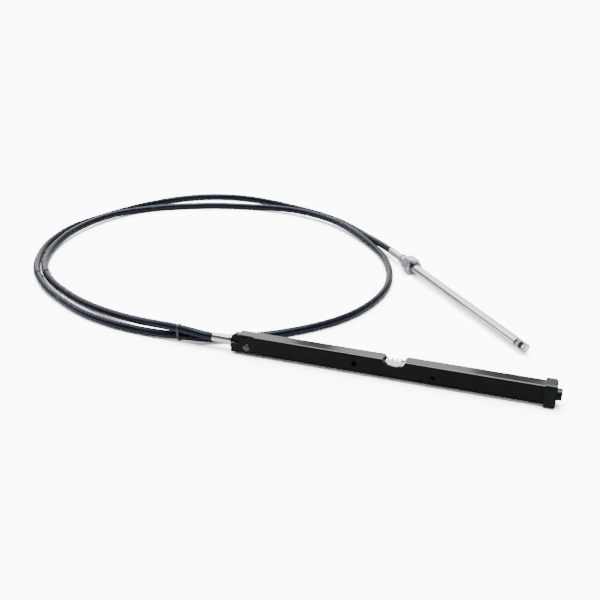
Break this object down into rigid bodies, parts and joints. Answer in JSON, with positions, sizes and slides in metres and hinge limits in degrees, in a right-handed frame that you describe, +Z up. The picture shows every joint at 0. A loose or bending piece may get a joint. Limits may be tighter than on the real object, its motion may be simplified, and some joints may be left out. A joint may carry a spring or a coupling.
{
  "type": "boat steering cable",
  "caption": "Rack and pinion boat steering cable: a gear rack in a black rectangular housing, a looped push-pull cable, and a telescoping steel ram with a hex coupling nut.",
  "frame": {"origin": "middle of the base of the bounding box of all pieces but the cable and its bands, on the floor", "axes": "+X along the rack housing, from the cable to the end cap; +Y away from the rack's front face, level; +Z up off the floor"},
  "size_m": [1.0001, 0.6654, 0.0366],
  "materials": {
    "black_paint": "gloss",
    "black_plastic": "satin",
    "black_jacket": "gloss",
    "bright_steel": "satin",
    "polished_steel": "polished",
    "zinc_plate": "satin",
    "clear_band": "gloss"
  },
  "bodies": {
    "base": {"rack_housing": "black_paint", "cable_adapter": "black_paint", "adapter_rivet": "zinc_plate", "rack_end_cap": "black_plastic", "rack_ferrule": "bright_steel", "steering_cable": "black_jacket", "left_band": "clear_band", "front_band": "clear_band", "output_fitting": "bright_steel", "inner_tube": "polished_steel"},
    "rack": {"rack_bar": "bright_steel"},
    "ram": {"output_ram": "polished_steel"},
    "nut": {"coupling_nut": "zinc_plate"}
  },
  "joints": [
    {"name": "rack_slide", "type": "slide", "parent": "base", "child": "rack", "axis": [-1, 0, 0], "range_m": [0, 0.203]},
    {"name": "ram_slide", "type": "slide", "parent": "base", "child": "ram", "axis": [0.6787, -0.7343, -0.0122], "range_m": [0, 0.203]},
    {"name": "nut_spin", "type": "hinge", "parent": "base", "child": "nut", "pos_m": [-0.0198, 0.15613, 0.0143], "axis": [0.6787, -0.7343, -0.0122], "continuous": true}
  ],
  "couplings": [
    {"joint": "ram_slide", "follows": "rack_slide", "ratio": 1}
  ]
}
